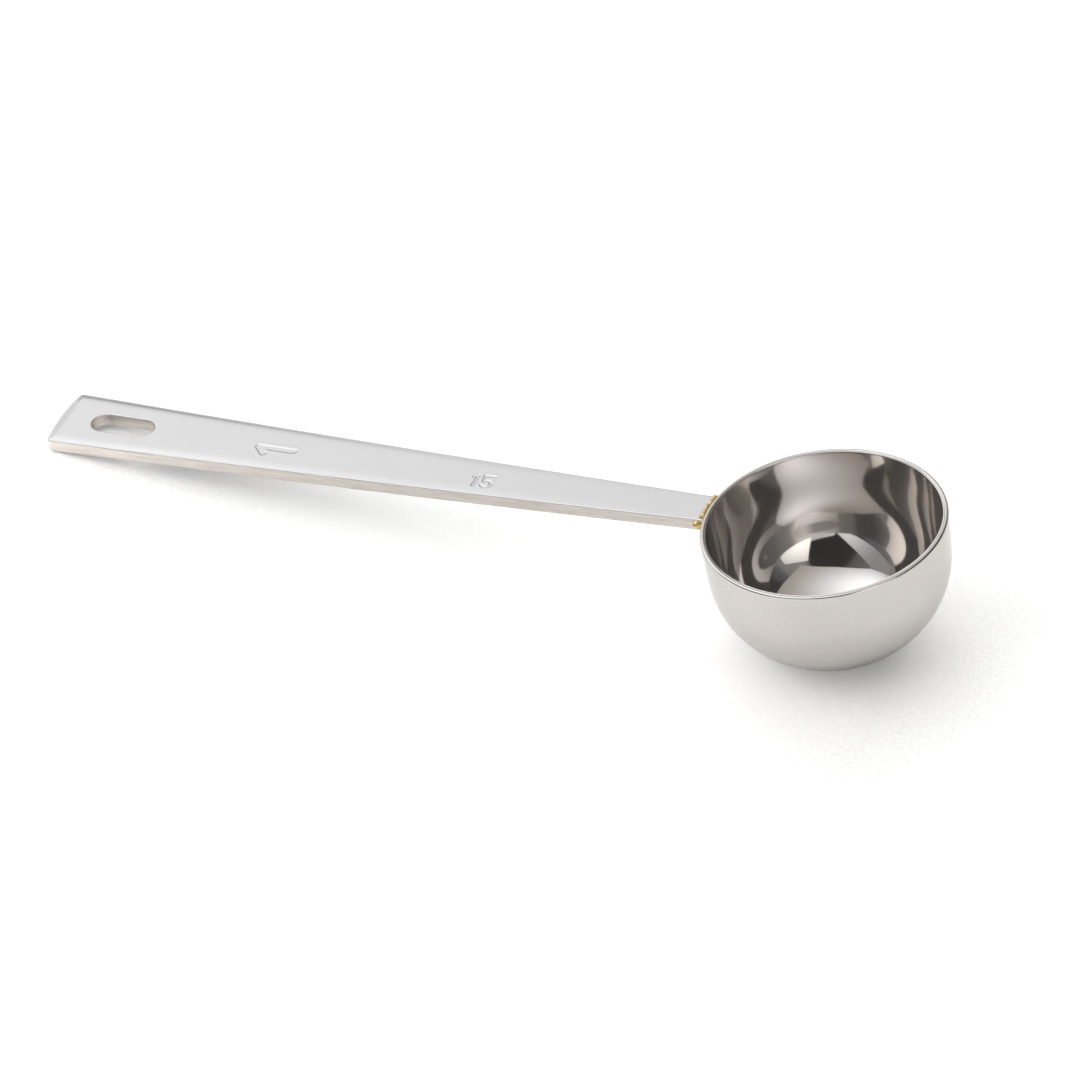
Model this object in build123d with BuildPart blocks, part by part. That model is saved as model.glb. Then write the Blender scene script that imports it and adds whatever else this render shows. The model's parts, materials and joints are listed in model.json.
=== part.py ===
from build123d import *
from math import acos, atan, atan2, cos, degrees, hypot, radians, sin
import os

os.makedirs("parts", exist_ok=True)

# A steel measuring spoon of 15 ml, lying as it does on a worktop: it stands on the bowl's bottom and on the
# lower edge of the handle's free end, so its rim leans. Millimetres, +Z up, the worktop at Z 0, the handle
# towards -X, and the origin under the middle of the spoon's bounding box.
# Along, across and height below are measured from the centre of the rim, square to the rim's plane.

# Bowl: a drawn cup with an even wall
rim_diameter = 36.7
bowl_wall = 0.9
side_height = 7.05  # the upper part of the side, which is nearly upright
side_draw_in = 0.38  # how much the side draws in towards the foot of that part
bowl_turn_radius = 14.85  # outside radius from the side round to the bottom
rim_outer_round = 0.35
rim_inner_round = 0.15

# Handle: a flat bar that tapers towards the bowl
handle_length = 107.2  # from the bowl's side to the middle of the free end
handle_thickness = 2.1
free_end_width = 12.36
bowl_end_width = 6.0
handle_drop = 0.27  # from the rim down to the handle's top face at its two ends
handle_dip = 0.29  # how far the middle of the bar dips below its ends
end_bulge = 0.63  # how far the free end's curve stands out from its corners
end_corner_radius = 1.0
handle_edge_round = 0.33

# Hanging slot
slot_from_end = 5.57
slot_length = 10.2
slot_width = 4.1
slot_edge_round = 0.25

# Stamped numerals: a large 1 that lies along the handle, and a 15 that stands across it
mark_depth = 0.14
large_one_from_end = 36.5  # to the numeral's middle
large_one_height = 6.8
large_one_stroke = 1.05
large_one_offset = 0.2  # towards the near side
fifteen_from_end = 70.7  # to the pair's middle
fifteen_height = 3.1
fifteen_stroke = 0.42
fifteen_offset = 0.8  # towards the near side
fifteen_pitch = 1.9  # from the middle of the 1 to the middle of the 5

# Brazed joint
braze_film = 0.12  # between the handle's root and the bowl
braze_strip_width = 0.78  # along the top of the joint
braze_strip_height = 0.2
braze_under_width = 0.6  # the fillet beneath the joint, as wide as it is high
braze_bead_radius = 0.72  # a round bead at each flank of the handle
braze_bead_reach = 0.4  # from the bowl's side to the middle of a bead

cut_overrun = 1.0

# The bowl's outline, from the rim down
rim_radius = rim_diameter / 2
side_lean = atan(side_draw_in / side_height)
turn_along = rim_radius - side_draw_in - bowl_turn_radius * cos(side_lean)
turn_height = bowl_turn_radius * sin(side_lean) - side_height

# The handle's place against the rim
tip_along = rim_radius + handle_length
root_along = rim_radius - bowl_wall
top_height = -handle_drop
under_height = top_height - handle_thickness
through_handle = handle_drop + handle_dip + handle_thickness + cut_overrun  # from the rim's plane

# The lean at which the bowl's turn and the rounded lower edge of the free end both touch the worktop
lever_along = turn_along - tip_along + handle_edge_round
lever_height = under_height + handle_edge_round - turn_height
lever_drop = handle_edge_round - bowl_turn_radius
lean = atan2(lever_along, lever_height) + acos(lever_drop / hypot(lever_along, lever_height))

# How far the spoon reaches behind and in front of the rim's centre, and how high that centre stands
reach_back = (
    (tip_along - handle_edge_round) * cos(lean)
    + (top_height - handle_edge_round) * sin(lean)
    + handle_edge_round
)
reach_front = turn_along * cos(lean) - turn_height * sin(lean) + bowl_turn_radius
rim_z = turn_along * sin(lean) - turn_height * cos(lean) + bowl_turn_radius
rim_centre = Vector((reach_back - reach_front) / 2, 0, rim_z)

along = Vector(cos(lean), 0, sin(lean))
across = Vector(0, 1, 0)
upright = Vector(-sin(lean), 0, cos(lean))
rim_plane = Plane(origin=rim_centre, x_dir=along, z_dir=upright)
side_plane = Plane(origin=rim_centre, x_dir=along, z_dir=-across)
bowl_axis = Axis(rim_centre, upright)
handle_axis = Axis(rim_centre, along)


def draw_cup(inset):
    """Half the outline of a cup that lies inside the bowl's outer surface by an inset, from axis to side."""
    rim = (rim_radius - inset / cos(side_lean), 0)
    radius = bowl_turn_radius - inset
    turn = CenterArc((turn_along, turn_height), radius, -90, 90 - degrees(side_lean))
    Line(turn @ 1, rim)
    Polyline(rim, (0, 0), (0, turn_height - radius), turn @ 0)


def top_at(from_end):
    """A point of the handle's top face on its middle line, at a distance from the free end."""
    share = from_end / (tip_along - root_along)
    height = top_height - handle_dip * 4 * share * (1 - share)
    return rim_centre + along * (from_end - tip_along) + upright * height


def bar_curve(height):
    """The long curve of the handle's top or under face, which dips in the middle."""
    middle = (-(tip_along + root_along) / 2, height - handle_dip)
    return ThreePointArc((-tip_along, height), middle, (-root_along, height))


def stroke(start, end, width):
    """One straight, round-ended stroke of a numeral, between two points of the sketch."""
    line = Vector(*end) - Vector(*start)
    with Locations((Vector(*start) + Vector(*end)) / 2):
        SlotCenterToCenter(line.length, width, rotation=degrees(atan2(line.Y, line.X)))


def draw_one(height, width):
    """A numeral 1 about the sketch's origin: its stem and its flag."""
    flag_reach_share, flag_drop_share = 0.2, 0.19
    foot = (height - width) / 2
    stroke((0, -foot), (0, foot), width)
    stroke((-height * flag_reach_share, foot - height * flag_drop_share), (0, foot), width)


def draw_five(height, width):
    """A numeral 5 about the sketch's origin: its top bar, its back and its round belly."""
    bar_share, belly_share = 0.27, 0.31
    belly_start, belly_end = 140, -145
    foot = (height - width) / 2
    reach = height * bar_share
    belly_radius = height * belly_share - width / 2
    belly_height = belly_radius - foot
    turn = radians(belly_start)
    shoulder = (belly_radius * cos(turn), belly_height + belly_radius * sin(turn))
    stroke((-reach, foot), (reach, foot), width)
    stroke((-reach, foot), shoulder, width)
    SlotArc(CenterArc((0, belly_height), belly_radius, belly_start, belly_end - belly_start), width)


# What the bowl holds to the brim
with BuildPart() as fill:
    with BuildSketch(side_plane):
        with BuildLine():
            draw_cup(bowl_wall)
        make_face()
    revolve(axis=bowl_axis)

millilitres = fill.part.volume / 1000
print(f"The bowl holds {millilitres:.2f} ml to the brim, and the spoon leans {degrees(lean):.2f} degrees")

# Bowl: the outer cup less what it holds, with its rim rounded outside and in
with BuildPart() as bowl:
    with BuildSketch(side_plane):
        with BuildLine():
            draw_cup(0)
        make_face()
    revolve(axis=bowl_axis)
    add(fill.part, mode=Mode.SUBTRACT)
    inner_edge, outer_edge = bowl.edges().group_by(bowl_axis)[-1].sort_by(SortBy.RADIUS)
    fillet(outer_edge, radius=rim_outer_round)
    fillet(inner_edge, radius=rim_inner_round)

bowl.part.label = "bowl"
export_step(bowl.part, "parts/bowl.step")

# Handle: the bar's side view pushed across, cut to its outline from above, rounded along its edges, then
# slotted, hollowed at its root to clear the bowl by the braze's film, and stamped
with BuildPart() as handle:
    with BuildSketch(side_plane):
        with BuildLine():
            top_curve = bar_curve(top_height)
            under_curve = bar_curve(under_height)
            Line(top_curve @ 0, under_curve @ 0)
            Line(top_curve @ 1, under_curve @ 1)
        make_face()
    extrude(amount=free_end_width, both=True)
    with BuildSketch(rim_plane) as outline:
        with BuildLine():
            half_end, half_root = free_end_width / 2, bowl_end_width / 2
            corner_along = end_bulge - tip_along
            ThreePointArc((corner_along, -half_end), (-tip_along, 0), (corner_along, half_end))
            Polyline(
                (corner_along, half_end),
                (-rim_radius, half_root),
                (-root_along, half_root),
                (-root_along, -half_root),
                (-rim_radius, -half_root),
                (corner_along, -half_end),
            )
        make_face()
        fillet(outline.vertices().sort_by(Axis.X)[:2], radius=end_corner_radius)
    extrude(amount=through_handle, both=True, mode=Mode.INTERSECT)
    bar_faces = handle.faces().sort_by(bowl_axis)
    outline_edges = bar_faces[-1].edges() + bar_faces[0].edges()
    fillet(outline_edges.group_by(handle_axis)[:-1], radius=handle_edge_round)
    with BuildSketch(rim_plane):
        with Locations((slot_from_end + slot_length / 2 - tip_along, 0)):
            SlotOverall(slot_length, slot_width)
    extrude(amount=through_handle, both=True, mode=Mode.SUBTRACT)
    slot_edges = handle.edges(Select.LAST).filter_by(bowl_axis, reverse=True)
    fillet(slot_edges, radius=slot_edge_round)
    with BuildSketch(side_plane):
        with BuildLine():
            draw_cup(-braze_film)
        make_face()
    revolve(axis=bowl_axis, mode=Mode.SUBTRACT)
    large_one_middle = top_at(large_one_from_end) - across * large_one_offset - upright * mark_depth
    with BuildSketch(Plane(origin=large_one_middle, x_dir=across, z_dir=upright)):
        draw_one(large_one_height, large_one_stroke)
    extrude(amount=cut_overrun, mode=Mode.SUBTRACT)
    fifteen_middle = top_at(fifteen_from_end) - across * fifteen_offset - upright * mark_depth
    for draw_numeral, side in ((draw_one, -1), (draw_five, 1)):
        numeral_middle = fifteen_middle + along * side * fifteen_pitch / 2
        with BuildSketch(Plane(origin=numeral_middle, x_dir=along, z_dir=upright)):
            draw_numeral(fifteen_height, fifteen_stroke)
        extrude(amount=cut_overrun, mode=Mode.SUBTRACT)

handle.part.label = "handle"
export_step(handle.part, "parts/handle.step")

# Braze: a block across the joint whose sloping top is the strip beside the rim and whose sloping underside is
# the fillet beneath, with a bead at each flank, all cut back to the bowl and the handle that it wets
with BuildPart() as braze:
    joint_height = (top_height + under_height) / 2
    joint_along = rim_radius + side_draw_in * joint_height / side_height
    wall_middle = rim_radius - bowl_wall / 2
    with BuildSketch(side_plane):
        with BuildLine():
            strip_top = top_height + braze_strip_height
            Polyline(
                (-wall_middle, strip_top),
                (-joint_along, strip_top),
                (-joint_along - braze_strip_width, top_height),
                (-joint_along - braze_strip_width, joint_height),
                (-joint_along - braze_under_width, under_height),
                (-joint_along, under_height - braze_under_width),
                (-wall_middle, under_height - braze_under_width),
                close=True,
            )
        make_face()
    extrude(amount=bowl_end_width / 2, both=True)
    for side in (-1, 1):
        bead_along = along * -(joint_along + braze_bead_reach)
        bead_across = across * side * bowl_end_width / 2
        with Locations(rim_centre + bead_along + bead_across + upright * joint_height):
            Sphere(braze_bead_radius)
    add(bowl.part, mode=Mode.SUBTRACT)
    add(handle.part, mode=Mode.SUBTRACT)

braze.part.label = "braze"
export_step(braze.part, "parts/braze.step")
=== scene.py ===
# %% [markdown]
# A steel measuring spoon lies on a white table, lit by a soft studio. The spoon's three pieces come from the
# frame as plain solids. This lesson models each of them again with Blender's own tools, in the same place and
# at the same size, so that their edges, stamped numerals and brazed joint catch the light as the real ones do.
# %% Load the frame
import json
from math import asin, atan, atan2, cos, degrees, exp, hypot, pi, radians, sin

import bmesh
import bpy
from mathutils import Matrix, Vector, noise


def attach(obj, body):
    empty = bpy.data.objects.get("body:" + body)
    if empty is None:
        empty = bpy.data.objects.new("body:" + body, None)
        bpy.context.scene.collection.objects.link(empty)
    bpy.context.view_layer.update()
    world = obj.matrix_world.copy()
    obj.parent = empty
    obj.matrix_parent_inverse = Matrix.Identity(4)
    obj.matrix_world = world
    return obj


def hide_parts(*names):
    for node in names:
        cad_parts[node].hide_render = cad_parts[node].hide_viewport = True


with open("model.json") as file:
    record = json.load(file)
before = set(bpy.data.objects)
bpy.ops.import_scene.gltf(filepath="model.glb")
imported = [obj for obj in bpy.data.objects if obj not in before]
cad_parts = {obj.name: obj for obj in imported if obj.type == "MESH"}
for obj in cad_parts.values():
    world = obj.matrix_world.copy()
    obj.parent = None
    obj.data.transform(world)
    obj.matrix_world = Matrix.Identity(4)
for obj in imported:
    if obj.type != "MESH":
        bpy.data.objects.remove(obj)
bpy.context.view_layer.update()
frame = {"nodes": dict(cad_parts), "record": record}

print("The frame holds", ", ".join(sorted(frame["nodes"])))

# %% [markdown]
# The spoon rests on the bowl's bottom and on the end of its handle, so its rim leans. The frame's record says
# where the rim's plane is. The pieces are easier to draw square to that plane, in millimetres, with the rim's
# centre at 0: x runs along the handle towards the bowl, y across it and z out of the bowl's mouth. A finished
# piece is then placed in one step, which also turns millimetres into Blender's metres.
# %% Find the rim's plane
mm = 0.001

rim_mount = next(m for m in frame["record"]["mounts"] if m["name"] == "rim")
lean = atan2(-rim_mount["axis"][0], rim_mount["axis"][2])
rim_centre = Vector((rim_mount["pos_m"][0], 0, rim_mount["pos_m"][2]))
spoon_place = Matrix.Translation(rim_centre) @ Matrix.Rotation(-lean, 4, "Y") @ Matrix.Scale(mm, 4)


def to_table(along, across, height):
    """A point of the rim's own frame, in millimetres, as a point over the table, in metres."""
    return spoon_place @ Vector((along, across, height))


print(f"The rim leans {degrees(lean):.2f} degrees, and its centre is {rim_centre.z / mm:.1f} mm high")

# %% [markdown]
# These are the real spoon's sizes in millimetres. Its solids are made from the same ones, apart from the depth
# of the stamped marks. The walls of a mark slope here, as a punch leaves them, and a mirror shows every slope,
# so half of the solids' depth looks right.
# %% Sizes of the spoon
# Bowl: a drawn cup with an even wall
rim_radius = 36.7 / 2
bowl_wall = 0.9
side_height = 7.05
side_draw_in = 0.38
bowl_turn_radius = 14.85
rim_outer_round = 0.35
rim_inner_round = 0.15

# Handle: a flat bar that tapers towards the bowl
handle_length = 107.2
handle_thickness = 2.1
free_end_width = 12.36
bowl_end_width = 6.0
handle_drop = 0.27
handle_dip = 0.29
end_bulge = 0.63
handle_edge_round = 0.33

# Hanging slot
slot_from_end = 5.57
slot_length = 10.2
slot_width = 4.1
slot_edge_round = 0.25

# Stamped numerals: a large 1 along the handle, and a 15 across it
mark_depth = 0.07
large_one_from_end = 36.5
large_one_height = 6.8
large_one_stroke = 1.05
large_one_offset = 0.2
fifteen_from_end = 70.7
fifteen_height = 3.1
fifteen_stroke = 0.42
fifteen_offset = 0.8
fifteen_pitch = 1.9

# Joint: the gap that the braze fills
braze_film = 0.12

side_lean = atan(side_draw_in / side_height)
turn_along = rim_radius - side_draw_in - bowl_turn_radius * cos(side_lean)
turn_height = bowl_turn_radius * sin(side_lean) - side_height
tip_along = rim_radius + handle_length
print(f"Along its rim's plane the spoon is {tip_along + rim_radius:.1f} mm long")

# %% [markdown]
# A lathe hand or a jigmaker draws an outline first. Blender can do that with a single vertex: extruding it
# draws a straight run, and spinning it about a point draws an arc. The Pen below holds such a vertex in edit
# mode. Its turns are counted anticlockwise as the drawing is looked at, and spin counts them the other way.
# %% A pen that draws outlines
touching = 1e-4  # vertices that lie nearer to each other than this are one


def start_clean():
    """Leaves edit mode and deselects everything, so that the next operator touches only its own piece."""
    if bpy.context.mode != "OBJECT":
        bpy.ops.object.mode_set(mode="OBJECT")
    bpy.ops.object.select_all(action="DESELECT")


class Pen:
    """Draws an outline on a new mesh, vertex by vertex, in a plane that faces towards a given normal."""

    def __init__(self, name, start, facing):
        start_clean()
        bpy.ops.mesh.primitive_plane_add(size=1, enter_editmode=True)
        self.piece = bpy.context.object
        self.piece.name = name
        self.facing = facing
        self.tip = Vector(start)
        bpy.ops.mesh.select_mode(type="VERT")
        bpy.ops.mesh.merge(type="CENTER")
        bpy.ops.transform.translate(value=self.tip)

    def line(self, end, runs=1):
        """A straight line to a point, in a number of equal runs."""
        stride = (Vector(end) - self.tip) / runs
        for _ in range(runs):
            bpy.ops.mesh.extrude_region_move(TRANSFORM_OT_translate={"value": stride})
        self.tip = Vector(end)

    def arc(self, centre, turn, runs):
        """An arc about a centre, through a turn in degrees."""
        bpy.ops.mesh.spin(steps=runs, angle=-radians(turn), center=centre, axis=self.facing)
        turned = Matrix.Rotation(radians(turn), 3, Vector(self.facing))
        self.tip = Vector(centre) + turned @ (self.tip - Vector(centre))

    def close(self):
        """Joins the last vertex to the first."""
        bpy.ops.mesh.select_all(action="SELECT")
        bpy.ops.mesh.remove_doubles(threshold=touching)


# %% [markdown]
# In edit mode an operator acts on what is selected. By hand that is clicked, and here a test picks vertices,
# edges or faces by the place of their middles. When a piece is done, its place on the table is baked into its
# mesh, so that the object stays at the origin and a pattern that is laid on it can't slide.
# %% Helpers that select and finish
def select_where(piece, kind, test):
    """In edit mode, selects only the vertices, edges or faces whose middle passes a test, and counts them."""
    bpy.ops.mesh.select_all(action="DESELECT")
    bpy.ops.mesh.select_mode(type={"verts": "VERT", "edges": "EDGE", "faces": "FACE"}[kind])
    mesh = bmesh.from_edit_mesh(piece.data)
    count = 0
    for part in getattr(mesh, kind):
        if kind == "verts":
            middle = part.co
        elif kind == "edges":
            middle = (part.verts[0].co + part.verts[1].co) / 2
        else:
            middle = part.calc_center_median()
        if test(part, middle):
            part.select_set(True)
            count += 1
    mesh.select_flush_mode()
    bmesh.update_edit_mesh(piece.data)
    return count


def finish_piece(piece, name):
    """Leaves edit mode, puts the piece in its place on the table and bakes that place into its mesh."""
    start_clean()
    piece.select_set(True)
    bpy.context.view_layer.objects.active = piece
    piece.matrix_world = spoon_place @ piece.matrix_world
    bpy.ops.object.transform_apply(location=True, rotation=True, scale=True)
    piece.name = piece.data.name = name
    triangles = sum(len(face.vertices) - 2 for face in piece.data.polygons)
    print(f"{name}: {len(piece.data.vertices)} vertices, {triangles} triangles")


# %% [markdown]
# The bowl is a cup drawn from sheet, so its wall is even and every section through its axis is the same. It
# could be a sphere cut in half, but the real side is nearly upright and the bottom has a small flat, which a
# sphere hasn't. Its section is drawn once, inside and out, and spun once round the axis. First come the points
# where its arcs and straight runs meet.
# %% Bowl: the corners of its section
outward = Vector((cos(side_lean), 0, -sin(side_lean)))
down_side = Vector((-sin(side_lean), 0, -cos(side_lean)))
turn_centre = Vector((turn_along, 0, turn_height))
outer_foot = turn_centre + outward * bowl_turn_radius
inner_foot = turn_centre + outward * (bowl_turn_radius - bowl_wall)
outer_bottom = turn_height - bowl_turn_radius


def side_at(foot, height):
    """The point of the bowl's side, above its foot, at a height."""
    return foot - down_side * ((height - foot.z) / cos(side_lean))


outer_round_side = side_at(outer_foot, -rim_outer_round)
outer_round_centre = outer_round_side - outward * rim_outer_round
inner_round_side = side_at(inner_foot, -rim_inner_round)
inner_round_centre = inner_round_side + outward * rim_inner_round
print(f"The bowl stands {-outer_bottom:.2f} mm high")

# %% [markdown]
# Outside, one arc joins the side to the bottom. Inside, the wall turns into the bottom little by little, which
# the reflections in the real bowl show, so that part is drawn in short strides whose heading changes faster
# and faster. A mirror shows every facet, so the arcs and the spin are finely divided.
# %% Bowl: its section, spun round the axis
turn_runs = 58
side_runs = 6
rim_runs = 6
flat_runs = 4
spin_steps = 240
inside_stride = 0.25
inside_blend = 10.0  # how much of the inner wall lies between its straight part and its full turn


def smooth(share):
    """A share that is kept between 0 and 1, and starts and stops gently."""
    share = min(max(share, 0), 1)
    return share * share * (3 - 2 * share)


def draw_inside(pen):
    """The inner wall from the rim down: nearly straight at first, then turning more and more."""
    heading, run = side_lean, 0
    blend_start = hypot(side_height, side_draw_in) - inside_blend / 2
    inner_radius = bowl_turn_radius - bowl_wall
    while heading < radians(90):
        pen.line(pen.tip + inside_stride * Vector((-sin(heading), 0, -cos(heading))))
        run += inside_stride
        heading += inside_stride / inner_radius * smooth((run - blend_start) / inside_blend)


pen = Pen("bowl_section", (0, 0, outer_bottom), facing=(0, -1, 0))
pen.line((turn_along, 0, outer_bottom), flat_runs)
pen.arc(turn_centre, 90 - degrees(side_lean), turn_runs)
pen.line(outer_round_side, side_runs)
pen.arc(outer_round_centre, 90 + degrees(side_lean), rim_runs)
pen.line((inner_round_centre.x, 0, pen.tip.z))
pen.line(inner_round_centre + Vector((0, 0, rim_inner_round)))
pen.arc(inner_round_centre, 90 - degrees(side_lean), rim_runs)
draw_inside(pen)
print(f"The bowl is {-pen.tip.z:.2f} mm deep inside, and its flat is {2 * pen.tip.x:.1f} mm across")
pen.line((0, 0, pen.tip.z), flat_runs)

bowl = pen.piece
bpy.ops.mesh.select_all(action="SELECT")
bpy.ops.mesh.spin(steps=spin_steps, angle=2 * pi, center=(0, 0, 0), axis=(0, 0, 1))
bpy.ops.mesh.select_all(action="SELECT")
bpy.ops.mesh.remove_doubles(threshold=touching)
bpy.ops.mesh.normals_make_consistent(inside=False)
bpy.ops.mesh.faces_shade_smooth()
finish_piece(bowl, "bowl_shell")

# %% [markdown]
# The handle is a flat bar cut from plate, wider at its free end, with its long edges broken on a polishing
# wheel. A box could be tapered instead, but the free end is bowed and its corners are round, so the outline is
# drawn from above with the pen, filled and pushed down to the plate's thickness.
# %% Handle: the bar
half_end = free_end_width / 2
half_root = bowl_end_width / 2
corner_along = end_bulge - tip_along
root_radius = rim_radius + braze_film
root_angle = degrees(asin(half_root / root_radius))
root_along = root_radius * cos(radians(root_angle))
bulge_radius = (half_end ** 2 + end_bulge ** 2) / (2 * end_bulge)
bulge_angle = degrees(asin(half_end / bulge_radius))
top_height = -handle_drop
under_height = top_height - handle_thickness
polished_corner_radius = 1.5
corner_segments = 10
end_runs = 24
root_runs = 12
near_enough = 0.01


def is_end_corner(part, at):
    return at.x < corner_along + near_enough and abs(at.y) > half_end - near_enough


pen = Pen("handle_outline", (-root_along, half_root, top_height), facing=(0, 0, 1))
pen.line((corner_along, half_end, top_height))
pen.arc((bulge_radius - tip_along, 0, top_height), 2 * bulge_angle, end_runs)
pen.line((-root_along, -half_root, top_height))
pen.arc((0, 0, top_height), -2 * root_angle, root_runs)
pen.close()
handle = pen.piece
print("corners to round:", select_where(handle, "verts", is_end_corner))
bpy.ops.mesh.bevel(
    offset=polished_corner_radius, offset_type="OFFSET", segments=corner_segments, affect="VERTICES"
)
bpy.ops.mesh.select_all(action="SELECT")
bpy.ops.mesh.edge_face_add()
bpy.ops.mesh.extrude_region_move(TRANSFORM_OT_translate={"value": (0, 0, -handle_thickness)})
bpy.ops.mesh.select_all(action="SELECT")
bpy.ops.mesh.normals_make_consistent(inside=False)

# %% [markdown]
# Then the edges are bevelled. A quarter circle is a bevel's plain profile, and the edges beneath have it. A
# wheel wears the top ones a little squarer, and they are the ones that the light runs along.
# %% Handle: its broken edges
top_edge_round = 0.4
top_edge_segments = 8
squarish = 0.72
under_edge_segments = 6
quarter_circle = 0.5
root_gap = 0.001


def round_outline(height, radius, segments, fullness):
    """Rounds the edges round the face at a height, apart from the one at the handle's root."""
    def at_height(part, at):
        level = abs(part.verts[0].co.z - height) + abs(part.verts[1].co.z - height) < near_enough
        return level and hypot(at.x, at.y) > root_radius + root_gap
    print("edges to round:", select_where(handle, "edges", at_height))
    bpy.ops.mesh.bevel(offset=radius, segments=segments, profile=fullness, affect="EDGES")


round_outline(top_height, top_edge_round, top_edge_segments, squarish)
round_outline(under_height, handle_edge_round, under_edge_segments, quarter_circle)

# %% [markdown]
# The wheel also rolls the top face off beside each edge, which is why a soft bright band runs along the near
# one. It takes off only about a tenth of a millimetre, but a mirror shows it. Cuts beside each long edge and
# behind the free end give the top face its rows of vertices there, and each of those is then lowered by how
# near it lies to the handle's edge. An inset would be shorter to write, but it folds over at tight corners.
# %% Handle: the roll-off beside its top edges
roll_off_width = 1.7
roll_off_depth = 0.12
roll_off_rows = 7
taper = (half_end - half_root) / (-corner_along - root_along)


def cut_bar(place, normal):
    """Cuts the whole bar along a plane, which adds a row of vertices and changes no shape."""
    bpy.ops.mesh.select_all(action="SELECT")
    bpy.ops.mesh.bisect(plane_co=place, plane_no=normal)


for row in range(1, roll_off_rows + 1):
    inside = top_edge_round + roll_off_width * row / roll_off_rows
    for side in (-1, 1):
        cut_bar((-root_along, side * (half_root - inside), 0), (side * taper, 1, 0))
    cut_bar((inside + end_bulge / 2 - tip_along, 0, 0), (1, 0, 0))


def edge_distance(along, across):
    """How far a point of the top face lies inside the handle's outline, in millimetres."""
    side = half_root + taper * (-along - root_along) - abs(across)
    end = bulge_radius - hypot(along + tip_along - bulge_radius, across)
    return min(side, end)


mesh = bmesh.from_edit_mesh(handle.data)
lowered = 0
for vert in mesh.verts:
    if vert.co.z > top_height - handle_thickness / 2:
        inside = edge_distance(vert.co.x, vert.co.y) - top_edge_round
        share = 1 - min(max(inside / roll_off_width, 0), 1)
        vert.co.z -= roll_off_depth * share ** 3
        lowered += share > 0
bmesh.update_edit_mesh(handle.data)
print("vertices in the roll-off:", lowered)

# %% [markdown]
# More cuts across the bar give it the rows of vertices that its gentle dip needs. None of them crosses the
# slot, so that the slot's edge meets only flat, open faces when it is bevelled.
# %% Handle: rows across the bar
rows_from_end = (3.6, 18.6, 25, 32, 41, 48, 55, 62, 68.1, 73.4, 80, 87, 94, 101)
for from_end in rows_from_end:
    cut_bar((from_end - tip_along, 0, 0), (1, 0, 0))
print("rows across the bar:", len(rows_from_end))

# %% [markdown]
# The hanging slot is punched through the bar. Its shape could be cut with the knife, but a cutter with round
# ends is drawn by the same pen in a few lines, and a Boolean modifier takes it away from the bar.
# %% Handle: the hanging slot
slot_radius = slot_width / 2
slot_start = slot_from_end + slot_radius - tip_along
slot_stop = slot_start + slot_length - slot_width
slot_runs = 24
cutter_reach = 1.0
cutter_depth = handle_thickness + handle_dip + 2 * cutter_reach

pen = Pen("slot_cutter", (slot_start, slot_radius, top_height + cutter_reach), facing=(0, 0, 1))
pen.arc((slot_start, 0, pen.tip.z), 180, slot_runs)
pen.line((slot_stop, -slot_radius, pen.tip.z))
pen.arc((slot_stop, 0, pen.tip.z), 180, slot_runs)
pen.close()
bpy.ops.mesh.edge_face_add()
bpy.ops.mesh.extrude_region_move(TRANSFORM_OT_translate={"value": (0, 0, -cutter_depth)})
bpy.ops.mesh.select_all(action="SELECT")
bpy.ops.mesh.normals_make_consistent(inside=False)
slot_cutter = pen.piece
start_clean()
handle.select_set(True)
bpy.context.view_layer.objects.active = handle
punch = handle.modifiers.new("punch", "BOOLEAN")
punch.operation = "DIFFERENCE"
punch.solver = "EXACT"
punch.object = slot_cutter
bpy.ops.object.modifier_apply(modifier=punch.name)
bpy.data.objects.remove(slot_cutter)
print(f"The slot is {slot_length} mm long and {slot_width} mm wide")

# %% [markdown]
# The punch leaves a sharp edge above and below, and both are broken, so that a cord or a hook slides in the
# slot. They are found by their distance from the slot's middle line.
# %% Handle: the slot's broken edges
slot_edge_segments = 4
slot_tolerance = 0.02


def is_slot_edge(part, at):
    """An edge where the slot's wall meets the top or under face."""
    level = abs(part.verts[0].co.z - part.verts[1].co.z) < slot_tolerance
    nearest_end = min(max(at.x, slot_start), slot_stop)
    on_wall = abs(hypot(at.x - nearest_end, at.y) - slot_radius) < slot_tolerance
    return level and on_wall and len(part.link_faces) == 2


bpy.ops.object.mode_set(mode="EDIT")
print("slot edges:", select_where(handle, "edges", is_slot_edge))
bpy.ops.mesh.bevel(offset=slot_edge_round, segments=slot_edge_segments, profile=quarter_circle, affect="EDGES")

# %% [markdown]
# The numerals are made of strokes, as the punch is. A stroke is a straight line with two end points and a
# width, and the belly of the 5 is a chain of short ones. Both numerals are drawn about their own middle.
# %% Handle: the strokes of the numerals
def one_strokes(height, width):
    """A numeral 1: its stem and its flag, as pairs of end points."""
    flag_reach_share, flag_drop_share = 0.2, 0.19
    foot = (height - width) / 2
    flag = Vector((-height * flag_reach_share, foot - height * flag_drop_share))
    return [(Vector((0, -foot)), Vector((0, foot))), (flag, Vector((0, foot)))]


def five_strokes(height, width):
    """A numeral 5: its top bar, its back and its round belly, as pairs of end points."""
    bar_share, belly_share = 0.27, 0.31
    belly_start, belly_end = 140, -145
    belly_runs = 24
    foot = (height - width) / 2
    reach = height * bar_share
    belly_radius = height * belly_share - width / 2
    belly_middle = Vector((0, belly_radius - foot))
    sweep = belly_end - belly_start
    turns = [radians(belly_start + sweep * step / belly_runs) for step in range(belly_runs + 1)]
    belly = [belly_middle + belly_radius * Vector((cos(turn), sin(turn))) for turn in turns]
    top = [(Vector((-reach, foot)), Vector((reach, foot))), (Vector((-reach, foot)), belly[0])]
    return top + list(zip(belly, belly[1:]))


def distance_to_stroke(point, start, end):
    """How far a point lies from a straight stroke's middle line."""
    run = end - start
    share = min(max((point - start).dot(run) / run.length_squared, 0), 1)
    return (point - start - run * share).length


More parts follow.
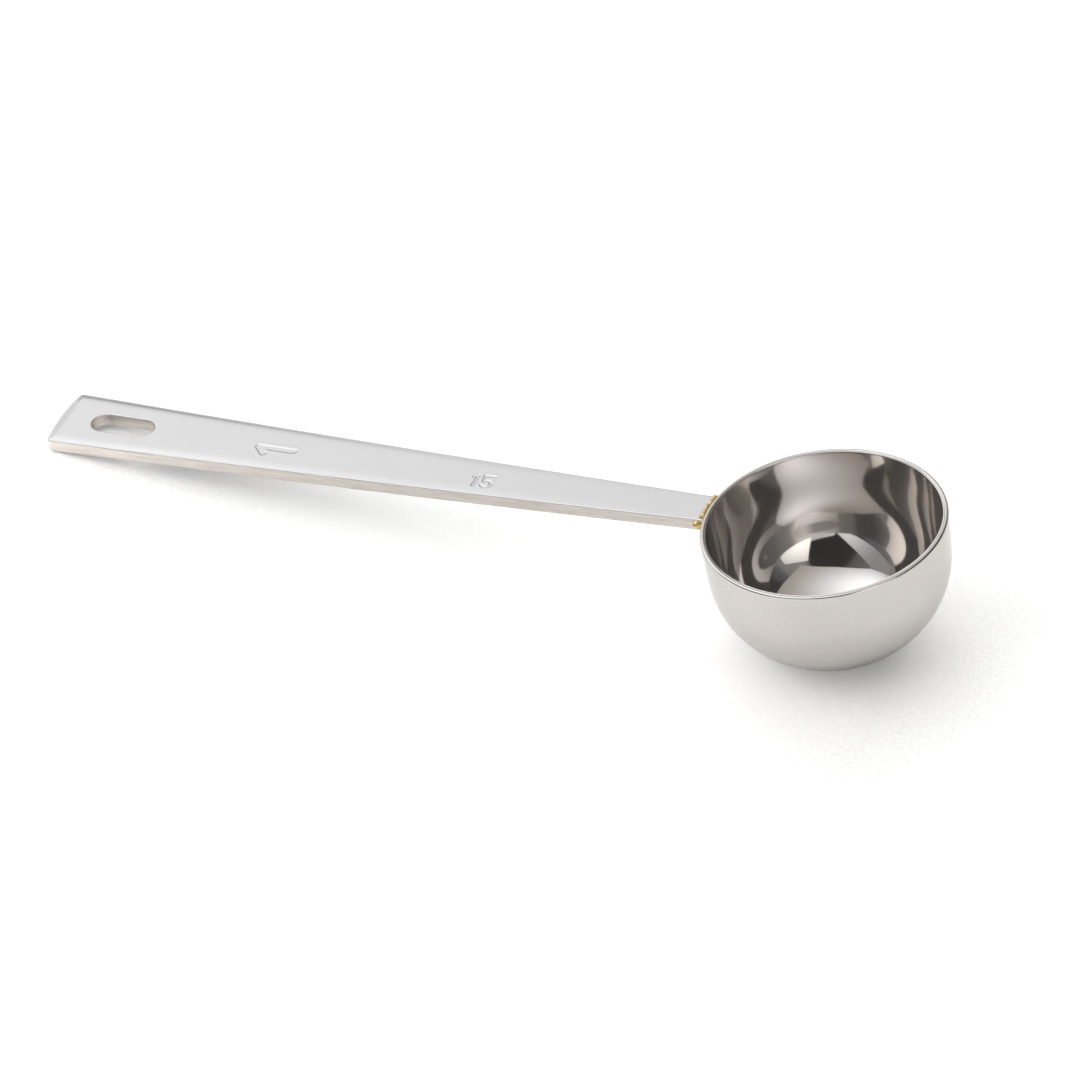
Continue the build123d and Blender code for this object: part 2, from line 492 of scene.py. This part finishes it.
# %% [markdown]
# A punch presses its strokes into the plate, so their walls slope and the metal beside them rises slightly.
# The numerals could be cut out with a Boolean, but its walls would be upright. Instead the patch of the top
# face under each numeral is cut out of its neighbours and divided finely, and each of its vertices is pressed
# down by how near it lies to a stroke.
# %% Handle: the stamped numerals
stamp_lip = 0.008
patch_near, patch_far = -2.75, 1.2
patch_reach = 3
level_enough = 0.9999
large_one_slope = 0.3
fifteen_slope = 0.2


def stamp(strokes, width, slope, to_mark, left, right, cuts):
    """Presses strokes into the patch of the top face between two distances from the free end."""
    def under_mark(part, at):
        beside = patch_near - patch_reach < at.y < patch_far + patch_reach
        return part.normal.z > level_enough and left < at.x + tip_along < right and beside

    def in_patch(part, at):
        return under_mark(part, at) and patch_near < at.y < patch_far

    for line_across in (patch_near, patch_far):
        select_where(handle, "faces", under_mark)
        bpy.ops.mesh.bisect(plane_co=(0, line_across, 0), plane_no=(0, 1, 0))
    print("patch faces:", select_where(handle, "faces", in_patch))
    bpy.ops.mesh.subdivide(number_cuts=cuts)
    mesh = bmesh.from_edit_mesh(handle.data)
    for vert in mesh.verts:
        if not (vert.select and left < vert.co.x + tip_along < right):
            continue
        point = to_mark(vert.co)
        away = min(distance_to_stroke(point, *stroke) for stroke in strokes) - width / 2
        sunk = smooth(0.5 - away / slope)
        lip = exp(-((away - slope) / slope) ** 2)
        vert.co.z += stamp_lip * lip * (1 - sunk) - mark_depth * sunk
    bmesh.update_edit_mesh(handle.data)


large_one = Vector((large_one_from_end - tip_along, -large_one_offset))
stamp(
    one_strokes(large_one_height, large_one_stroke), large_one_stroke, large_one_slope,
    lambda at: Vector((at.y - large_one.y, large_one.x - at.x)),
    left=32, right=41, cuts=100,
)
fifteen = Vector((fifteen_from_end - tip_along, -fifteen_offset))
apart = Vector((fifteen_pitch / 2, 0))
fifteen_strokes = [(a - apart, b - apart) for a, b in one_strokes(fifteen_height, fifteen_stroke)]
fifteen_strokes += [(a + apart, b + apart) for a, b in five_strokes(fifteen_height, fifteen_stroke)]
stamp(
    fifteen_strokes, fifteen_stroke, fifteen_slope,
    lambda at: Vector((at.x - fifteen.x, at.y - fifteen.y)),
    left=68.1, right=73.4, cuts=80,
)

# %% [markdown]
# Last, the bar dips a little between its ends, like a bar that was straightened by eye. Its faces are shaded
# smooth apart from sharp edges, and the Weighted Normal modifier lets the large flat faces decide how the
# narrow ones beside them are shaded.
# %% Handle: the dip, and its place
smooth_below = radians(40)

mesh = bmesh.from_edit_mesh(handle.data)
for vert in mesh.verts:
    share = (vert.co.x + tip_along) / (tip_along - root_along)
    vert.co.z -= handle_dip * 4 * share * (1 - share)
bmesh.update_edit_mesh(handle.data)
bpy.ops.mesh.select_all(action="SELECT")
bpy.ops.mesh.normals_make_consistent(inside=False)
finish_piece(handle, "handle_bar")
bpy.ops.object.shade_smooth_by_angle(angle=smooth_below)
even = handle.modifiers.new("even_shading", "WEIGHTED_NORMAL")
even.keep_sharp = True
bpy.ops.object.modifier_apply(modifier=even.name)

# %% [markdown]
# The braze is brass that was melted into the joint. It filled the gap, stood up as a lumpy strip along the
# top and froze as a round bead at each flank. It could be sculpted, but here it starts as plain runs, as the
# filler did: a strip bent round the bowl above and below the handle's root, a film between them and two beads.
# %% Braze: runs of filler
strip_radius = 0.5
strip_height = top_height - 0.27
strip_along = rim_radius + 0.3
strip_turn = degrees(asin(half_root / strip_along))
short_of_near_end = 0.8
under_strip_radius = 0.42
under_strip_height = under_height - 0.12
under_strip_along = rim_radius + 0.2
film_radius = 0.38
film_top = top_height - 0.45
film_pitch = 0.6
film_runs = 3
bead_radius = 0.72
bead_along = rim_radius + 0.78
bead_across = half_root + 0.1
bead_height = (top_height + under_height) / 2


def draw_run(name, radius, height, along, far_turn=strip_turn, near_turn=strip_turn):
    """A round run of filler, bent round the bowl's side between two turns from the handle's middle."""
    start_clean()
    bpy.ops.mesh.primitive_circle_add(vertices=16, radius=radius, fill_type="NGON", enter_editmode=True)
    bpy.ops.mesh.select_all(action="SELECT")
    bpy.ops.transform.rotate(value=radians(90), orient_axis="X", center_override=(0, 0, 0))
    bpy.ops.transform.translate(value=(along, 0, height))
    piece = bpy.context.object
    piece.name = name
    bpy.ops.mesh.spin(steps=20, angle=-radians(far_turn + near_turn), center=(0, 0, 0), axis=(0, 0, 1))
    bpy.ops.object.mode_set(mode="OBJECT")
    piece.matrix_world = Matrix.Rotation(radians(180 - far_turn), 4, "Z")
    bpy.ops.object.transform_apply(location=True, rotation=True, scale=True)
    return piece


runs = [
    draw_run("top_strip", strip_radius, strip_height, strip_along, near_turn=strip_turn * short_of_near_end),
    draw_run("under_strip", under_strip_radius, under_strip_height, under_strip_along),
]
for level in range(film_runs):
    runs.append(draw_run("film", film_radius, film_top - level * film_pitch, rim_radius))
for side in (-1, 1):
    start_clean()
    bead_place = (-bead_along, side * bead_across, bead_height)
    bpy.ops.mesh.primitive_ico_sphere_add(subdivisions=4, radius=bead_radius, location=bead_place)
    runs.append(bpy.context.object)
print("runs and beads of filler:", len(runs))

# %% [markdown]
# A voxel remesh melts the runs into one skin. A few rounds of smoothing let it settle, and a slow noise makes
# it as uneven as real filler.
# %% Braze: melted together
melt_size = 0.07
settle_rounds = 4
lump_size, lump_height = 0.5, 0.08

start_clean()
for piece in runs:
    piece.select_set(True)
bpy.context.view_layer.objects.active = runs[0]
bpy.ops.object.join()
braze = bpy.context.object
bpy.ops.object.transform_apply(location=True, rotation=True, scale=True)
melt = braze.modifiers.new("melt", "REMESH")
melt.mode = "VOXEL"
melt.voxel_size = melt_size
bpy.ops.object.modifier_apply(modifier=melt.name)
settle = braze.modifiers.new("settle", "SMOOTH")
settle.iterations = settle_rounds
bpy.ops.object.modifier_apply(modifier=settle.name)
skin = braze.data.vertices
lumps = [vert.normal * lump_height * noise.noise(vert.co / lump_size) for vert in skin]
for vert, lump in zip(skin, lumps):
    vert.co += lump
bpy.ops.object.shade_smooth()
finish_piece(braze, "braze_filler")

# %% [markdown]
# A finish is a small recipe of shader nodes. Nodes that are placed one by one are slow to read, so three
# helpers keep a recipe short. The first is Value. It wraps the output of a node, so that sums on it are written
# as in Python.
# %% Helpers for finishes: sums
class Value:
    """The output of a shader node. A sum on it adds its Math node."""

    def __init__(self, nodes, socket):
        self.nodes, self.socket = nodes, socket

    def math(self, operation, first, second):
        return self.nodes.add("ShaderNodeMath", {"operation": operation}, {0: first, 1: second})

    def __add__(self, other):
        return self.math("ADD", self, other)

    def __sub__(self, other):
        return self.math("SUBTRACT", self, other)

    def __rsub__(self, other):
        return self.math("SUBTRACT", other, self)

    def __mul__(self, other):
        return self.math("MULTIPLY", self, other)

    def __truediv__(self, other):
        return self.math("DIVIDE", self, other)

    def __pow__(self, other):
        return self.math("POWER", self, other)

    __radd__ = __add__
    __rmul__ = __mul__


# %% [markdown]
# The second is Nodes, which adds any other node by its type. A colour goes through its blend and never through
# a sum, because a Math node would turn it grey.
# %% Helpers for finishes: nodes
class Nodes:
    """A node tree that is being filled."""

    def __init__(self, owner):
        owner.use_nodes = True
        self.tree = owner.node_tree

    def add(self, kind, settings=None, sockets=None, output=0):
        """Adds a node of a type, with its settings and the values or links of its sockets."""
        node = self.tree.nodes.new(kind)
        for name, setting in (settings or {}).items():
            if name == "stops":
                self.place_stops(node.color_ramp.elements, setting)
            elif name == "easing":
                node.color_ramp.interpolation = setting
            else:
                setattr(node, name, setting)
        for name, value in (sockets or {}).items():
            self.feed(node.inputs[name], value)
        return Value(self, node.outputs[output]) if node.outputs else None

    def place_stops(self, elements, stops):
        """Puts the stops of a colour ramp in their places. A new ramp has two already."""
        for number, (place, colour) in enumerate(stops):
            stop = elements[number] if number < 2 else elements.new(place)
            stop.position = place
            stop.color = (*colour, 1)

    def feed(self, socket, value):
        """Links a Value to a socket, or sets the socket to a plain number, colour or vector."""
        if isinstance(value, Value):
            self.tree.links.new(value.socket, socket)
        else:
            socket.default_value = value

    def blend(self, share, first, second):
        """A colour between two colours."""
        settings = {"data_type": "RGBA"}
        return self.add("ShaderNodeMix", settings, {0: share, 6: first, 7: second}, output=2)

    def share(self, value, start, stop, easing="LINEAR"):
        """A share that grows from 0 to 1 while a value goes from a start to a stop."""
        settings = {"interpolation_type": easing}
        return self.add("ShaderNodeMapRange", settings, {0: value, 1: start, 2: stop, 3: 0.0, 4: 1.0})


# %% [markdown]
# The third is Finish, a material with one Principled shader. Its patterns are laid out in the rim's own frame
# and in millimetres, so that the grain of the handle runs along it although the spoon leans.
# %% Helpers for finishes: materials
class Finish(Nodes):
    """A material with one Principled shader, whose varying inputs are fed one by one."""

    def __init__(self, name, **constants):
        self.material = bpy.data.materials.new(name)
        super().__init__(self.material)
        self.shader = self.tree.nodes["Principled BSDF"]
        for socket, value in constants.items():
            self.shader.inputs[socket].default_value = value

    def set(self, socket, value):
        self.feed(self.shader.inputs[socket], value)

    def places(self):
        """Along, across and height in the rim's own frame, in millimetres, and the three as a vector."""
        place = self.add("ShaderNodeTexCoord", output=3)
        settings = {"vector_type": "TEXTURE"}
        sockets = {"Vector": place, "Location": rim_centre, "Rotation": (0, -lean, 0), "Scale": (mm, mm, mm)}
        spot = self.add("ShaderNodeMapping", settings, sockets)
        parts = [self.add("ShaderNodeSeparateXYZ", None, {0: spot}, output=axis) for axis in range(3)]
        return (*parts, spot)

    def vector(self, x, y, z):
        return self.add("ShaderNodeCombineXYZ", None, {0: x, 1: y, 2: z})

    def noise(self, vector, scale=1.0, detail=2.0, roughness=0.5, fourth=None):
        """Smooth noise between 0 and 1 about 0.5."""
        settings = {"noise_dimensions": "4D" if fourth is not None else "3D"}
        sockets = {"Vector": vector, "Scale": scale, "Detail": detail, "Roughness": roughness}
        if fourth is not None:
            sockets["W"] = fourth
        return self.add("ShaderNodeTexNoise", settings, sockets)

    def bump(self, height, depth, under=None):
        """A bump of a real depth in metres, laid over another one."""
        sockets = {"Height": height, "Distance": depth, "Strength": 1.0}
        if under is not None:
            sockets["Normal"] = under
        return self.add("ShaderNodeBump", None, sockets)


def dress(piece, finish):
    """Puts a finish on a piece."""
    piece.data.materials.append(finish.material)
    print(f"{piece.name} wears {finish.material.name}, {len(finish.tree.nodes)} nodes")


# %% [markdown]
# The bowl is stainless steel, polished on a wheel while it turned. Steel reflects about two thirds of the
# light and a little less of the blue. The wheel leaves hair-fine rings round the axis, and the drawn sheet
# is very slightly uneven, so straight reflections waver. A flat noise would show a seam where a turn round the
# axis ends. The rings therefore come from noise in four dimensions: the first two are the distance from the
# axis and the height, and the other two are a small circle that is walked once in a turn.
# %% Polished steel of the bowl
steel_colour = (0.68, 0.65, 0.63, 1)
steel_shade = (0.65, 0.615, 0.585, 1)
side_from, side_to = -17.0, -12.0  # the heights between which the bottom becomes the side
ring_pitch, ring_waver = 3.1, 0.6
streak_pitch, streak_waver = 0.9, 2.2
cloud_pitch = 0.16
polish_haze, side_haze, streak_haze, ring_haze = 0.012, 0.015, 0.045, 0.03
wave_depth = 9e-6
ring_depth = 4e-7
axis_gap = 0.01  # keeps the sum on the axis from dividing by nothing


def polished_steel():
    finish = Finish("polished_steel", Metallic=0.92)
    along, across, height, spot = finish.places()
    radius = (along * along + across * across) ** 0.5
    unit_along = along / (radius + axis_gap)
    unit_across = across / (radius + axis_gap)

    def drawn_round(pitch, waver, detail, roughness):
        """Noise that changes fast from ring to ring and slowly along a ring."""
        place = finish.vector(radius * pitch, height * pitch, unit_along * waver)
        return finish.noise(place, detail=detail, roughness=roughness, fourth=unit_across * waver)

    rings = drawn_round(ring_pitch, ring_waver, detail=3.0, roughness=0.6)
    streaks = drawn_round(streak_pitch, streak_waver, detail=2.0, roughness=0.5)
    cloud = finish.noise(spot, cloud_pitch)
    side = finish.share(height, side_from, side_to, easing="SMOOTHSTEP")
    haze = side * side_haze + streaks * streak_haze + rings * ring_haze + polish_haze
    finish.set("Base Color", finish.blend(cloud, steel_shade, steel_colour))
    finish.set("Roughness", haze)
    wave = finish.bump(cloud, wave_depth)
    finish.set("Normal", finish.bump(rings * (side * 2 + 1), ring_depth, wave))
    return finish


dress(bowl, polished_steel())

# %% [markdown]
# The handle is the same steel. Its top is buffed to a soft sheen that shows no clear picture of the room. Its
# flanks still have the lengthwise grain of the cut plate, warmer and rougher, with darker streaks. Their colour
# also carries painted shade, darkest half way along, and painted light towards the ends. Its broken edges are
# the roughest. One material can be all three: the way that a face looks, up or sideways, says which of them it
# is.
# %% Buffed steel of the handle
top_colour = (0.72, 0.71, 0.715, 1)
top_shade = (0.68, 0.67, 0.675, 1)
flank_colour = (0.80, 0.75, 0.71, 1)
flank_shade = (0.62, 0.565, 0.52, 1)
# The next three numbers place painted shade along the flanks: darkest half way along, painted lighter towards
# the ends.
painted_shade_middle = -52
painted_shade_reach = 50
flank_painted_shade = 0.82
flank_from, top_from = 0.35, 0.6  # how level a face is at most on a flank, and at least on the top
grain_pitch, grain_run = 3.2, 0.12
fine_pitch, fine_run = 9.0, 0.9
buffed_cloud_pitch = 0.12
sheen_haze, flank_haze, edge_haze, cloud_haze, fine_haze = 0.13, 0.18, 0.3, 0.04, 0.05
buffed_wave_depth = 6e-6
fine_depth = 6e-7


def buffed_steel():
    finish = Finish("buffed_steel", Metallic=1.0)
    along, across, height, spot = finish.places()
    normal = finish.add("ShaderNodeTexCoord", output=1)
    upward = spoon_place.to_3x3().normalized() @ Vector((0, 0, 1))
    settings = {"operation": "DOT_PRODUCT"}
    facing_up = finish.add("ShaderNodeVectorMath", settings, {0: normal, 1: upward}, output=1)
    level = facing_up * facing_up
    flank = 1 - finish.share(level, flank_from, top_from, easing="SMOOTHSTEP")
    broken_edge = level * (1 - level) * 4

    grain = finish.vector(along * grain_run, across * grain_pitch, height * grain_pitch)
    grain = finish.share(finish.noise(grain, detail=3.0, roughness=0.65), 0.3, 0.7)
    fine = finish.noise(finish.vector(along * fine_run, across * fine_pitch, height * fine_pitch))
    cloud = finish.noise(spot, buffed_cloud_pitch)
    top = finish.blend(cloud, top_shade, top_colour)
    side = finish.blend(grain, flank_shade, flank_colour)
    # The flank colour is scaled by painted light and shade along the handle: darkest half way, lighter towards
    # the ends.
    from_middle = (along - painted_shade_middle) / painted_shade_reach
    painted_light_and_shade = from_middle * from_middle * (1 - flank_painted_shade) + flank_painted_shade
    side = finish.add("ShaderNodeVectorMath", {"operation": "SCALE"}, {0: side, "Scale": painted_light_and_shade})

    finish.set("Base Color", finish.blend(flank, top, side))
    haze = flank * flank_haze + broken_edge * edge_haze + cloud * cloud_haze + fine * fine_haze + sheen_haze
    finish.set("Roughness", haze)
    wave = finish.bump(cloud, buffed_wave_depth)
    finish.set("Normal", finish.bump(fine, fine_depth, wave))
    return finish


dress(handle, buffed_steel())

# %% [markdown]
# Brazing brass is a warm yellow, dulled to brown where the flux burnt and bright where it stayed clean. A
# colour ramp with two near stops makes the patches' edges clear.
# %% Brass of the braze
brass_bright = (1.0, 0.82, 0.46, 1)
brass_burnt = (0.72, 0.48, 0.16, 1)
patch_pitch = 1.4
patch_stops = [(0.38, (0, 0, 0)), (0.58, (1, 1, 1))]
burnt_haze, clean_polish = 0.52, 0.3
grit_pitch = 3.5
grit_depth = 3e-5


def brazing_brass():
    finish = Finish("brazing_brass", Metallic=1.0)
    *_, spot = finish.places()
    patches = finish.noise(spot, patch_pitch, detail=3.0, roughness=0.6)
    clean = finish.add("ShaderNodeValToRGB", {"stops": patch_stops}, {0: patches})
    finish.set("Base Color", finish.blend(clean, brass_burnt, brass_bright))
    finish.set("Roughness", burnt_haze - patches * clean_polish)
    grit = finish.noise(spot, grit_pitch, detail=3.0)
    finish.set("Normal", finish.bump(grit, grit_depth))
    return finish


dress(braze, brazing_brass())

# %% [markdown]
# Each piece now rides on the spoon's one body and stands for its solid, which is hidden.
# %% Tie the pieces to the frame
ties = ((bowl, "bowl", "bowl_steel"), (handle, "handle", "handle_steel"), (braze, "braze", "braze_brass"))
for piece, node, slot in ties:
    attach(piece, "root")
    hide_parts(node)
    print(f"{piece.name} stands for {node}")

# %% [markdown]
# The table is a white paper with a fine grain that shows only in the spoon's shadow. Most of its white is
# light that it gives back from the lamps, which is what shadows take away. The rest is given only to the
# camera's own rays and to the rays that metal or glass sends on, so the background is plain white and no more
# light falls on the spoon.
# %% The table
table_size = 6.0
table_white = (0.96, 0.96, 0.96, 1)
table_grain = (0.80, 0.80, 0.78, 1)
grain_size = 0.5 * mm
table_lift = 0.2
lift_in_metal = 0.1


def seen_rays(nodes, in_metal=1.0):
    """1 for the camera's own rays, a share for those that metal or glass sends on, and 0 for all others."""
    own = nodes.add("ShaderNodeLightPath", output="Is Camera Ray")
    glossy = nodes.add("ShaderNodeLightPath", output="Is Glossy Ray")
    through = nodes.add("ShaderNodeLightPath", output="Is Transmission Ray")
    return own.math("MAXIMUM", own, glossy.math("MAXIMUM", glossy, through) * in_metal)


start_clean()
bpy.ops.mesh.primitive_plane_add(size=table_size)
table = bpy.context.object
table.name = "table"
white_paper = bpy.data.materials.new("white_paper")
paper = Nodes(white_paper)
paper.tree.nodes.clear()
place = paper.add("ShaderNodeTexCoord", output=3)
speckle = paper.add("ShaderNodeTexNoise", None, {"Vector": place, "Scale": 1 / grain_size, "Detail": 1.0})
grain = paper.blend(paper.share(speckle, 0.35, 0.65), table_grain, table_white)
matt = paper.add("ShaderNodeBsdfDiffuse", None, {"Color": grain})
glow = paper.add("ShaderNodeEmission", None, {"Strength": seen_rays(paper, lift_in_metal) * table_lift})
both = paper.add("ShaderNodeAddShader", None, {0: matt, 1: glow})
paper.add("ShaderNodeOutputMaterial", None, {"Surface": both})
table.data.materials.append(white_paper)
print(f"The table is {table_size} m square")

# %% [markdown]
# A mirror shows the room, so the studio is part of the look. Papers and cards are hung by the directions of
# their corners, seen from the bowl: azimuth 0 is the front, 90 the right and -90 the left. Each glows round a
# hot spot, as tracing paper does before a lamp, and only reflections see it.
# %% Helpers that hang and light a paper
bowl_middle = to_table(0, 0, -8)
white = (1, 1, 1)


def seen_from_bowl(azimuth, elevation, distance):
    """The point in a direction from the bowl, at a distance in metres."""
    turn, rise = radians(azimuth), radians(elevation)
    return bowl_middle + distance * Vector((sin(turn) * cos(rise), -cos(turn) * cos(rise), sin(rise)))


def hang(name, corners):
    """A flat sheet with its corners at the given points."""
    start_clean()
    bpy.ops.mesh.primitive_circle_add(vertices=len(corners), radius=1, fill_type="NGON")
    sheet = bpy.context.object
    sheet.name = name
    for vert, corner in zip(sheet.data.vertices, corners):
        vert.co = corner
    print(f"{name} hangs by {len(corners)} corners")
    return sheet


def new_light(sheet):
    """An empty material on a sheet, and the place that its nodes start from."""
    material = bpy.data.materials.new(sheet.name)
    paper = Nodes(material)
    paper.tree.nodes.clear()
    sheet.data.materials.append(material)
    return paper, paper.add("ShaderNodeTexCoord", output=3)


def fade_from(paper, place, hot_spot, spread, light, stretch=(1, 1, 1)):
    """Extra light round a hot spot, which fades smoothly over its spread."""
    away = paper.add("ShaderNodeVectorMath", {"operation": "SUBTRACT"}, {0: place, 1: hot_spot})
    away = paper.add("ShaderNodeVectorMath", {"operation": "MULTIPLY"}, {0: away, 1: stretch})
    away = paper.add("ShaderNodeVectorMath", {"operation": "LENGTH"}, {0: away}, output=1)
    fall = away * away * (-1 / spread ** 2)
    return fall.math("EXPONENT", fall, 0) * light


def shine(sheet, strength, tint=white, dim_tint=white):
    """Gives a paper its light, in one tint where it is dim and in another where it is bright."""
    colour = strength.nodes.blend(strength, (*dim_tint, 1), (*tint, 1))
    glow = strength.nodes.add("ShaderNodeEmission", None, {"Color": colour, "Strength": strength})
    strength.nodes.add("ShaderNodeOutputMaterial", None, {"Surface": glow})
    sheet.visible_camera = sheet.visible_diffuse = sheet.visible_shadow = False


# %% [markdown]
# A sheet of tracing paper hangs flat over the table. It has two hot spots, one above the spoon's left and one
# farther back, where lamps stand behind it. The bowl's inside shows much of it, and so does the handle's near
# edge, where the top rolls off.
# %% The paper overhead
paper_height = 0.85
paper_corners = (
    (-73, 34.4), (-51, 46.6), (0, 64.6), (66, 55.3), (75, 57),
    (113, 54.4), (135, 48), (180, 42), (-145, 36), (-100, 31),
)
left_spot = bowl_middle + Vector((-0.55, -0.03, paper_height))
back_spot = bowl_middle + Vector((-0.80, 0.66, paper_height))
overhead_dim = 0.4


def overhead_point(azimuth, elevation):
    """Where a direction from the bowl meets the level of the overhead paper."""
    return seen_from_bowl(azimuth, elevation, paper_height / sin(radians(elevation)))


overhead = hang("overhead_paper", [overhead_point(*corner) for corner in paper_corners])
paper, place = new_light(overhead)
left_light = fade_from(paper, place, left_spot, spread=0.62, light=1.4, stretch=(1, 1.4, 1))
back_light = fade_from(paper, place, back_spot, spread=0.26, light=1.5)
shine(overhead, left_light + back_light + overhead_dim, tint=(0.98, 1, 1.04), dim_tint=(1.1, 0.98, 0.82))

# %% [markdown]
# Cards stand round the camera: a bright one at its right, a dim one at its left and a low one beneath it. The
# dark gap between them is what the bowl shows in its middle. One more paper hangs farther off, behind the
# spoon's left, and the handle's top shows it.
# %% The cards and the left paper
def card(name, distance, corners, hot_spot, spread, light, dim, tint=white):
    """A flat card at a distance, with light round a hot spot on top of an even dim light."""
    sheet = hang(name, [seen_from_bowl(*corner, distance) for corner in corners])
    paper, place = new_light(sheet)
    extra = fade_from(paper, place, seen_from_bowl(*hot_spot, distance), spread, light)
    shine(sheet, extra + dim, tint)


card(
    "right_card", distance=0.85, corners=((34, 6), (80, 6), (84, 44), (51, 54)),
    hot_spot=(52, 26), spread=0.4, light=1.45, dim=0.45, tint=(1, 0.98, 0.94),
)
card(
    "left_card", distance=0.85,
    corners=((-64, 29), (-32, 27), (-10, 23.5), (13, 20), (10.6, 25), (-50, 46), (-72, 36)),
    hot_spot=(2, 26), spread=0.32, light=0.65, dim=0.3,
)
card(
    "front_card", distance=0.9,
    corners=((-34, -3), (48, -3), (48, 33), (33, 31), (14, 27), (12, 19), (-34, 19)),
    hot_spot=(0, 4), spread=0.4, light=0.6, dim=0.6,
)
card(
    "left_paper", distance=1.3,
    corners=((-175, 20), (-125, 17), (-96, 14), (-96, 50), (-128, 52), (-175, 50)),
    hot_spot=(-112, 36), spread=0.85, light=1.15, dim=0.3,
)

# %% [markdown]
# All round stands a wall of boards, white behind the spoon's left and dark elsewhere. Boards could stand one
# by one, but a cylinder with a colour ramp wound round it is one piece, and its light changes smoothly.
# %% The wall round the studio
wall_distance = 1.6
wall_height = 9.0
wall_top_light = 2.0
# The azimuth of each stop and its light, from the back round by the left, the front and the right
wall_lights = (
    (-180, 0.22), (-160, 0.35), (-135, 0.42), (-112, 1.0), (-97, 0.8), (-84, 0.35), (-70, 0.25), (-52, 0.15),
    (-25, 0.1), (-12, 0.0), (45, 0.0), (60, 0.3), (85, 0.25), (100, 0.1), (118, 0.02), (145, 0.02),
    (163, 0.18), (180, 0.22),
)
wall_stops = [((azimuth + 180) / 360, (light / wall_top_light,) * 3) for azimuth, light in wall_lights]

start_clean()
bpy.ops.mesh.primitive_cylinder_add(
    vertices=72, radius=wall_distance, depth=wall_height, end_fill_type="NOTHING"
)
wall = bpy.context.object
wall.name = "wall"
bpy.ops.transform.translate(value=bowl_middle)
bpy.ops.object.transform_apply(location=True)
paper, place = new_light(wall)
about = paper.add("ShaderNodeVectorMath", {"operation": "SUBTRACT"}, {0: place, 1: bowl_middle})
turned = paper.add("ShaderNodeMapping", None, {"Vector": about, "Rotation": (0, 0, radians(90))})
angle = paper.add("ShaderNodeTexGradient", {"gradient_type": "RADIAL"}, {0: turned}, output=1)
boards = paper.add("ShaderNodeValToRGB", {"easing": "EASE", "stops": wall_stops}, {0: angle})
shine(wall, boards * wall_top_light)
print(f"The wall has {len(wall_lights)} stops of light")

# %% [markdown]
# Three broad lamps light the table and all that is matt: one high above the spoon, one behind it and one at
# its left, so its shadows fall to the front and the right. The metal shows the papers in their stead. The world
# adds only a faint grey, apart from the white that the camera sees behind the table.
# %% The lamps and the room
room_grey = 0.05


def lamp(name, azimuth, elevation, distance, width, height, watts):
    """A soft rectangular lamp that looks at the spoon."""
    start_clean()
    place = seen_from_bowl(azimuth, elevation, distance)
    bpy.ops.object.light_add(type="AREA", location=place)
    light = bpy.context.object
    light.name = name
    light.rotation_euler = (bowl_middle - place).to_track_quat("-Z", "Y").to_euler()
    light.data.shape = "RECTANGLE"
    light.data.size, light.data.size_y = width, height
    light.data.energy = watts
    light.visible_glossy = False
    print(f"{name}: {watts} W")


lamp("back_lamp", azimuth=-150, elevation=35, distance=1.0, width=1.4, height=0.7, watts=7.6)
lamp("left_lamp", azimuth=-60, elevation=35, distance=1.0, width=1.4, height=0.7, watts=7.4)
lamp("overhead_lamp", azimuth=0, elevation=88, distance=1.0, width=1.5, height=1.5, watts=8.8)

world = bpy.context.scene.world or bpy.data.worlds.new("room")
bpy.context.scene.world = world
room = Nodes(world)
room.tree.nodes.clear()
strength = seen_rays(room) * (1 - room_grey) + room_grey
sky = room.add("ShaderNodeBackground", None, {"Color": (*white, 1), "Strength": strength})
room.add("ShaderNodeOutputWorld", None, {"Surface": sky})

# %% [markdown]
# The camera looks down at the spoon from the front right, from far away with a long lens, so that the handle
# and the bowl keep nearly the same scale.
# %% The camera
camera_azimuth = 23.18
camera_elevation = 39.77
camera_distance = 1.3124
looked_at = Vector((15.13, -17.80, 19.55)) * mm
turn, rise = radians(camera_azimuth), radians(camera_elevation)
back = Vector((sin(turn) * cos(rise), -cos(turn) * cos(rise), sin(rise)))
start_clean()
bpy.ops.object.camera_add(location=looked_at + back * camera_distance)
camera = bpy.context.object
camera.rotation_euler = (radians(90) - rise, 0, turn)
camera.data.lens = 300
camera.data.sensor_width = 36
camera.data.clip_end = 20
bpy.context.scene.camera = camera
bpy.context.scene.view_settings.view_transform = "Standard"
print(f"The camera is {camera_distance:.2f} m away, with a lens of {camera.data.lens:.0f} mm")
